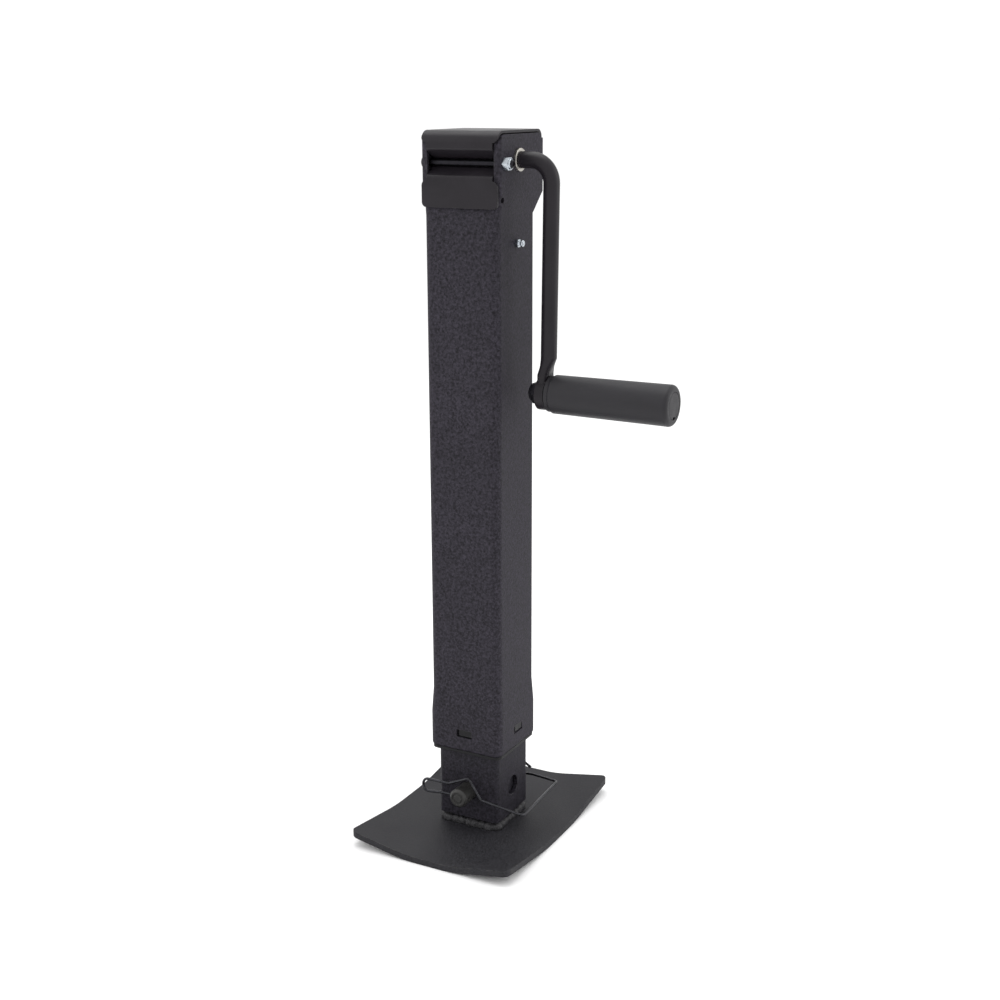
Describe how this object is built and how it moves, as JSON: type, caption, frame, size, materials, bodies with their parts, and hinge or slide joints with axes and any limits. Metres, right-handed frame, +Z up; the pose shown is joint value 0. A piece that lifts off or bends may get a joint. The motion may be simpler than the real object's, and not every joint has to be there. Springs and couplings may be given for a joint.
{
  "type": "trailer tongue jack",
  "caption": "Side-wind square-tube trailer jack with a crank, screw-driven inner ram, pinned drop leg and turned-up foot plate.",
  "frame": {"origin": "on the floor, at the centre of the foot plate's underside, under the tube's axis", "axes": "+Z up along the tube, +X out along the crank shaft and the grip, the lock pin along Y with its head end at -Y"},
  "size_m": [0.2829, 0.229, 0.685],
  "materials": {
    "tube_coat": "fine wrinkle powder coat",
    "ram_coat": "fine wrinkle powder coat",
    "leg_coat": "powder coat",
    "foot_coat": "powder coat, fine texture",
    "satin_coat": "smooth satin black coat",
    "pin_coat": "black oxide, satin",
    "spring_wire": "drawn spring wire, blackened",
    "dark_steel": "black oxide",
    "zinc": "bright zinc plate",
    "bushing_metal": "sintered, machined face",
    "black_plastic": "moulded nylon",
    "grip_plastic": "moulded, fine matt texture",
    "gear_steel": "machined, oiled",
    "bearing_steel": "ground and polished",
    "cage_brass": "pressed",
    "nut_iron": "machined cast iron"
  },
  "bodies": {
    "housing": {"outer_tube": "tube_coat", "gear_cover": "satin_coat", "cover_bolt": "dark_steel", "cover_nut": "zinc", "grease_fitting": "zinc", "shaft_bushings": "bushing_metal", "guide_bush": "black_plastic", "bearing_plate": "gear_steel", "upper_race": "bearing_steel", "bearing_balls": "bearing_steel", "ball_cage": "cage_brass"},
    "crank": {"crank_rod": "satin_coat", "bevel_pinion": "gear_steel", "pinion_pin": "dark_steel", "shaft_washer": "zinc", "shaft_ring": "dark_steel", "grip_bolt": "dark_steel", "grip_nut": "dark_steel"},
    "grip": {"handle_grip": "grip_plastic", "grip_end_plug": "grip_plastic"},
    "screw": {"lift_screw": "gear_steel", "bevel_gear": "gear_steel", "gear_pin": "dark_steel", "gear_washer": "gear_steel", "lower_race": "bearing_steel", "screw_stop": "gear_steel", "stop_screw": "dark_steel"},
    "ram": {"ram_tube": "ram_coat", "lift_nut": "nut_iron", "ram_guide": "black_plastic"},
    "leg": {"drop_leg": "leg_coat", "foot_plate": "foot_coat", "foot_weld": "foot_coat"},
    "pin": {"lock_pin": "pin_coat"},
    "clip": {"wire_clip": "spring_wire"}
  },
  "joints": [
    {"name": "crank_turn", "type": "hinge", "parent": "housing", "child": "crank", "pos_m": [0, 0, 0.659], "axis": [1, 0, 0], "range_deg": [0, 40500]},
    {"name": "screw_turn", "type": "hinge", "parent": "housing", "child": "screw", "pos_m": [0, 0, 0.5], "axis": [0, 0, 1], "range_deg": [0, 22500]},
    {"name": "ram_lift", "type": "slide", "parent": "housing", "child": "ram", "axis": [0, 0, -1], "range_m": [0, 0.3175]},
    {"name": "leg_drop", "type": "slide", "parent": "ram", "child": "leg", "axis": [0, 0, -1], "range_m": [0, 0.3048]},
    {"name": "pin_pull", "type": "slide", "parent": "ram", "child": "pin", "axis": [0, 1, 0], "range_m": [0, 0.11]},
    {"name": "clip_swing", "type": "hinge", "parent": "pin", "child": "clip", "pos_m": [0, 0.05, 0.044], "axis": [0, 0, 1], "range_deg": [0, 100], "deforming": ["wire_clip"]},
    {"name": "grip_spin", "type": "hinge", "parent": "crank", "child": "grip", "pos_m": [0.13, 0, 0.4485], "axis": [1, 0, 0], "continuous": true}
  ],
  "couplings": [
    {"joint": "screw_turn", "follows": "crank_turn", "ratio": 0.55556},
    {"joint": "ram_lift", "follows": "crank_turn", "m_per_rad": 0.00044917}
  ]
}
